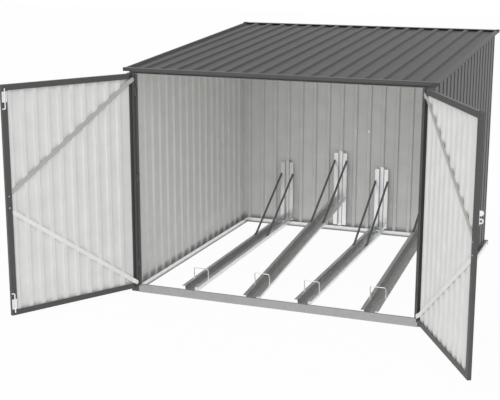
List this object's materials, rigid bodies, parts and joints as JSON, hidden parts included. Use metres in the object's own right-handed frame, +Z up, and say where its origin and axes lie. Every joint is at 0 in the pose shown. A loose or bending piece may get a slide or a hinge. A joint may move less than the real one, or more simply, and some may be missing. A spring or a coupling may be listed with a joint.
{
  "type": "bike shelter",
  "caption": "Square sheet-metal bike shelter with ribbed walls, a mono-pitch roof, braced hinged door leaves, and wheel rails with uprights, struts and hoops inside.",
  "frame": {"origin": "on the ground, in the middle of the underside of the front sill", "axes": "+X right seen from the front, +Y to the back of the shed, +Z up"},
  "size_m": [3.138, 3.2349, 1.8014],
  "materials": {
    "dark_paint": "satin anthracite coat on sheet steel",
    "pale_coat": "pale grey backing coat of the sheets",
    "galvanised_steel": "galvanised folded steel",
    "rail_zinc": "dull zinc-coated steel",
    "bright_zinc": "bright zinc-coated steel",
    "strut_steel": "dark coated flat bar"
  },
  "bodies": {
    "shed": {"left_front_post": "dark_paint", "right_front_post": "dark_paint", "front_header": "dark_paint", "left_wall": "dark_paint", "right_wall": "dark_paint", "back_wall": "dark_paint", "roof_sheet": "dark_paint", "front_roof_trim": "dark_paint", "back_roof_trim": "dark_paint", "left_roof_trim": "dark_paint", "right_roof_trim": "dark_paint", "front_sill": "galvanised_steel", "left_base_rail": "galvanised_steel", "right_base_rail": "galvanised_steel", "back_base_rail": "galvanised_steel", "wheel_rail_1": "rail_zinc", "wheel_rail_2": "rail_zinc", "wheel_rail_3": "rail_zinc", "wheel_rail_4": "rail_zinc", "wheel_hoop_1": "bright_zinc", "wheel_hoop_2": "bright_zinc", "wheel_hoop_3": "bright_zinc", "wheel_hoop_4": "bright_zinc", "upright_1": "bright_zinc", "upright_2": "bright_zinc", "upright_3": "bright_zinc", "upright_4": "bright_zinc", "struts_1": "strut_steel", "struts_2": "strut_steel", "struts_3": "strut_steel", "struts_4": "strut_steel"},
    "left_leaf": {"left_hinge_stile": "dark_paint", "left_free_stile": "dark_paint", "left_top_rail": "dark_paint", "left_bottom_rail": "dark_paint", "left_leaf_sheet": "pale_coat", "left_braces": "pale_coat", "left_tower_bolts": "bright_zinc"},
    "right_leaf": {"right_hinge_stile": "dark_paint", "right_free_stile": "dark_paint", "right_top_rail": "dark_paint", "right_bottom_rail": "dark_paint", "right_leaf_sheet": "pale_coat", "right_braces": "pale_coat", "right_pad_bolt": "bright_zinc"}
  },
  "joints": [
    {"name": "left_leaf_hinge", "type": "hinge", "parent": "shed", "child": "left_leaf", "pos_m": [-1.027, -0.07, 0.826], "axis": [0, 0, -1], "range_deg": [-120, 0]},
    {"name": "right_leaf_hinge", "type": "hinge", "parent": "shed", "child": "right_leaf", "pos_m": [1.027, -0.07, 0.826], "axis": [0, 0, 1], "range_deg": [-120, 0]}
  ]
}
